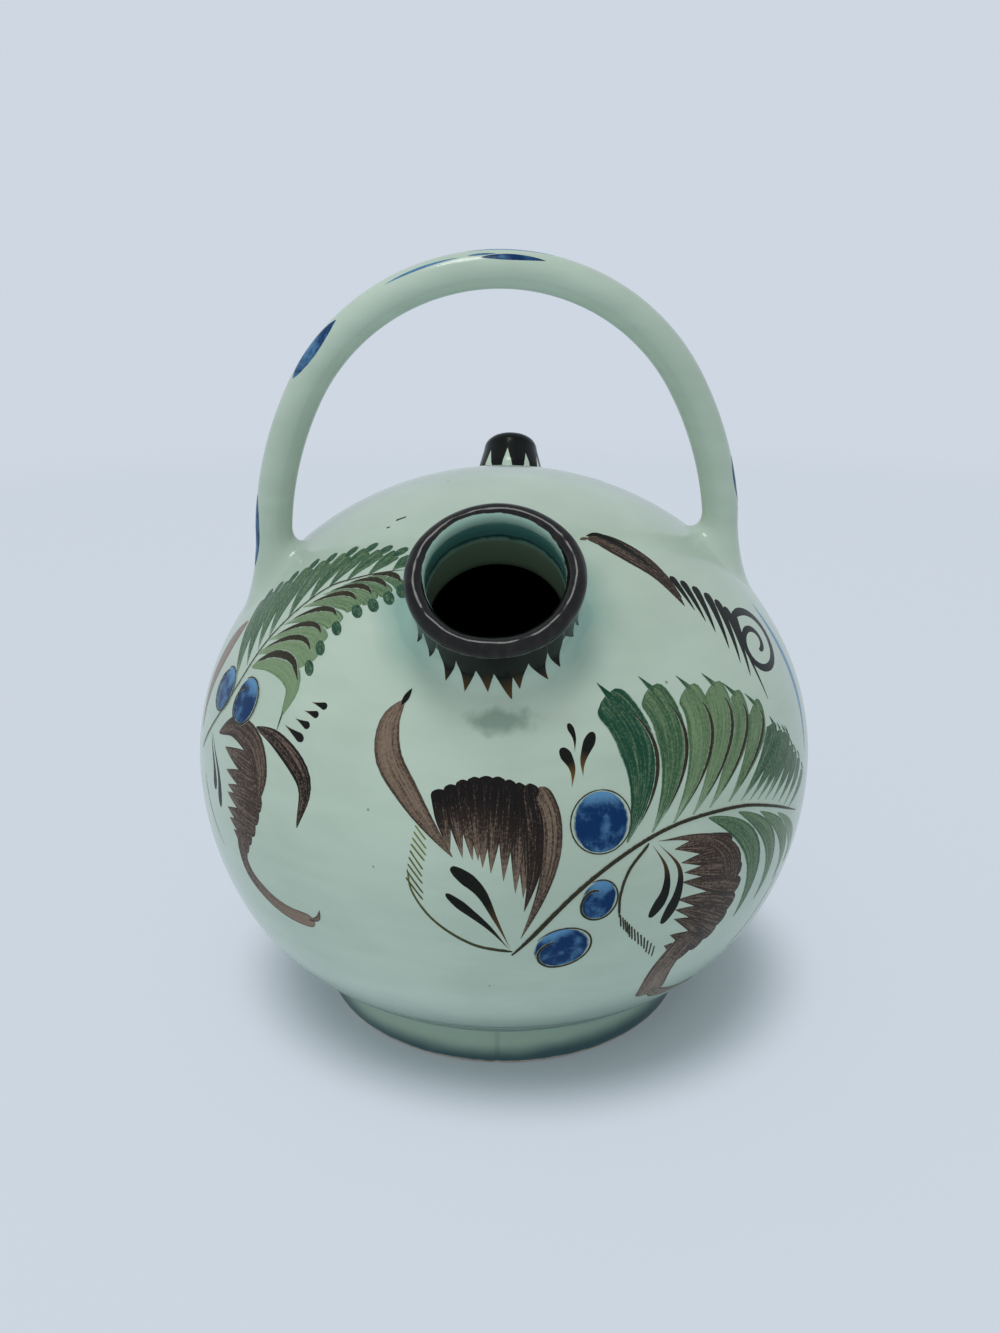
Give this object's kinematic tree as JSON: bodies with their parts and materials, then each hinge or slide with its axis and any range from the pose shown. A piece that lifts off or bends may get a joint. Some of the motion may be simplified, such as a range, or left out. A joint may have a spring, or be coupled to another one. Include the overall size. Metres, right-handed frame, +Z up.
{
  "type": "ceramic spouted jug",
  "caption": "Globular glazed jug with an overhead loop handle, a wide tilted filling neck, a narrow pouring spout at the back and a foot ring.",
  "frame": {"origin": "on the table at the centre of the foot ring's resting face, under the middle of the globe", "axes": "+Z up, filling neck towards -Y, pouring spout towards +Y, handle spanning X"},
  "size_m": [0.2, 0.2, 0.244],
  "materials": {
    "celadon_glaze": "clear gloss over pale grey-green, with brush-painted sprigs",
    "pooled_glaze": "clear gloss, blue-green where it pools",
    "foot_glaze": "clear gloss, darker towards the table",
    "lip_glaze": "glossy iron black",
    "handle_glaze": "clear gloss over pale grey-green, with blue dabs",
    "spout_glaze": "clear gloss, black towards the tip"
  },
  "bodies": {
    "root": {"body_left_half": "celadon_glaze", "body_right_half": "celadon_glaze", "foot_ring": "foot_glaze", "filling_neck": "celadon_glaze", "neck_collar": "pooled_glaze", "mouth_lip": "lip_glaze", "pouring_spout": "spout_glaze", "spout_collar": "pooled_glaze", "handle_arch": "handle_glaze", "handle_left_root": "celadon_glaze", "handle_right_root": "celadon_glaze"}
  },
  "joints": []
}
